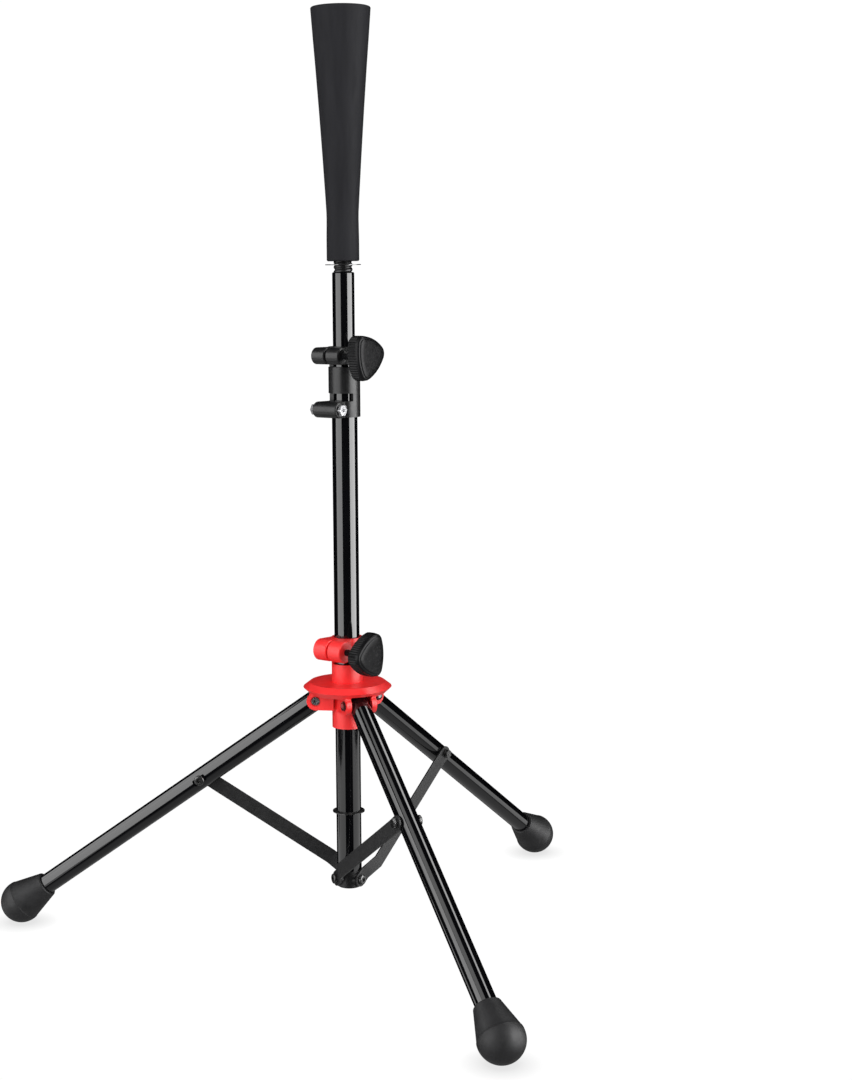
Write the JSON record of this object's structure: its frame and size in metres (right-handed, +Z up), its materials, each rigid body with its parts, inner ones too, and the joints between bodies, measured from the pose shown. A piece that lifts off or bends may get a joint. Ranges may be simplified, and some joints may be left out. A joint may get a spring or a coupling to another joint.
{
  "type": "batting tee",
  "caption": "Batting tee: a flared rubber ball cup on a telescoping pole, held by a clamp collar on a mast with a folding tripod of tubular legs, braced by flat struts.",
  "frame": {"origin": "on the ground, on the mast's axis, under the standing tee", "axes": "+Z up along the mast; -X along the first leg; the clamps' ears point to 240 degrees of azimuth and the knobs to 330 degrees"},
  "size_m": [0.5616, 0.6418, 0.917],
  "materials": {
    "gloss_black_tube": "gloss black powder coat",
    "satin_black_strut": "satin black powder coat",
    "foot_rubber": "matt dark grey rubber",
    "cup_rubber": "matt charcoal rubber",
    "black_moulding": "satin black moulded plastic",
    "knob_moulding": "satin black moulded plastic",
    "red_moulding": "bright red moulded plastic",
    "nylon": "black nylon",
    "spring_steel": "blackened spring steel",
    "zinc_plated_steel": "bright zinc plating",
    "black_steel_screw": "black oxide steel"
  },
  "bodies": {
    "mast": {"mast_tube": "gloss_black_tube", "mast_stop_ring": "spring_steel", "mast_boot": "black_moulding", "boot_screws": "black_steel_screw", "upper_clamp": "black_moulding", "upper_clamp_nut": "zinc_plated_steel", "collar_screw": "zinc_plated_steel", "collar_nut": "zinc_plated_steel"},
    "pole": {"pole_tube": "gloss_black_tube", "pole_glide": "nylon", "cup_stem": "black_moulding", "cup_washer": "spring_steel", "ball_cup": "cup_rubber"},
    "upper_knob": {"upper_knob": "knob_moulding", "upper_stud": "black_steel_screw"},
    "hub": {"hub": "red_moulding", "hub_nut": "zinc_plated_steel", "leg_bolts": "zinc_plated_steel", "leg_nuts": "black_steel_screw"},
    "hub_knob": {"hub_knob": "knob_moulding", "hub_stud": "black_steel_screw"},
    "leg_a": {"leg_tube_a": "gloss_black_tube", "leg_plug_a": "nylon", "foot_a": "foot_rubber", "strut_bolt_a": "black_steel_screw", "strut_washer_a": "nylon", "strut_nut_a": "black_steel_screw"},
    "strut_a": {"strut_a": "satin_black_strut"},
    "leg_b": {"leg_tube_b": "gloss_black_tube", "leg_plug_b": "nylon", "foot_b": "foot_rubber", "strut_bolt_b": "black_steel_screw", "strut_washer_b": "nylon", "strut_nut_b": "black_steel_screw"},
    "strut_b": {"strut_b": "satin_black_strut"},
    "leg_c": {"leg_tube_c": "gloss_black_tube", "leg_plug_c": "nylon", "foot_c": "foot_rubber", "strut_bolt_c": "black_steel_screw", "strut_washer_c": "nylon", "strut_nut_c": "black_steel_screw"},
    "strut_c": {"strut_c": "satin_black_strut"}
  },
  "joints": [
    {"name": "tripod_fold", "type": "hinge", "parent": "mast", "child": "strut_a", "pos_m": [0, 0, 0.0611], "axis": [0, -1, 0], "range_deg": [-45.7, 15.29]},
    {"name": "leg_a_hinge", "type": "hinge", "parent": "strut_a", "child": "leg_a", "pos_m": [-0.15115, 0, 0.15943], "axis": [0, -1, 0], "range_deg": [-32.87, 98.2]},
    {"name": "strut_b_hinge", "type": "hinge", "parent": "mast", "child": "strut_b", "pos_m": [0, 0, 0.0611], "axis": [0.866, 0.5, 0], "range_deg": [-45.71, 15.3]},
    {"name": "leg_b_hinge", "type": "hinge", "parent": "strut_b", "child": "leg_b", "pos_m": [0.07558, -0.1309, 0.15943], "axis": [0.866, 0.5, 0], "range_deg": [-32.87, 98.2]},
    {"name": "strut_c_hinge", "type": "hinge", "parent": "mast", "child": "strut_c", "pos_m": [0, 0, 0.0611], "axis": [-0.866, 0.5, 0], "range_deg": [-45.71, 15.3]},
    {"name": "leg_c_hinge", "type": "hinge", "parent": "strut_c", "child": "leg_c", "pos_m": [0.07558, 0.1309, 0.15943], "axis": [-0.866, 0.5, 0], "range_deg": [-32.87, 98.2]},
    {"name": "hub_hinge", "type": "hinge", "parent": "leg_a", "child": "hub", "pos_m": [-0.03, 0, 0.24531], "axis": [0, -1, 0], "range_deg": [-52.5, 17.57]},
    {"name": "height_slide", "type": "slide", "parent": "mast", "child": "pole", "axis": [0, 0, 1], "range_m": [-0.068, 0.22]},
    {"name": "upper_knob_turn", "type": "hinge", "parent": "mast", "child": "upper_knob", "pos_m": [0.02037, -0.03832, 0.5875], "axis": [0.866, -0.5, 0], "continuous": true},
    {"name": "hub_knob_turn", "type": "hinge", "parent": "hub", "child": "hub_knob", "pos_m": [0.02037, -0.03832, 0.29791], "axis": [0.866, -0.5, 0], "continuous": true}
  ],
  "couplings": [
    {"joint": "leg_a_hinge", "follows": "tripod_fold", "ratio": -2.1485},
    {"joint": "strut_b_hinge", "follows": "tripod_fold", "ratio": 1},
    {"joint": "leg_b_hinge", "follows": "tripod_fold", "ratio": -2.1485},
    {"joint": "strut_c_hinge", "follows": "tripod_fold", "ratio": 1},
    {"joint": "leg_c_hinge", "follows": "tripod_fold", "ratio": -2.1485},
    {"joint": "hub_hinge", "follows": "tripod_fold", "ratio": 1.1485}
  ]
}
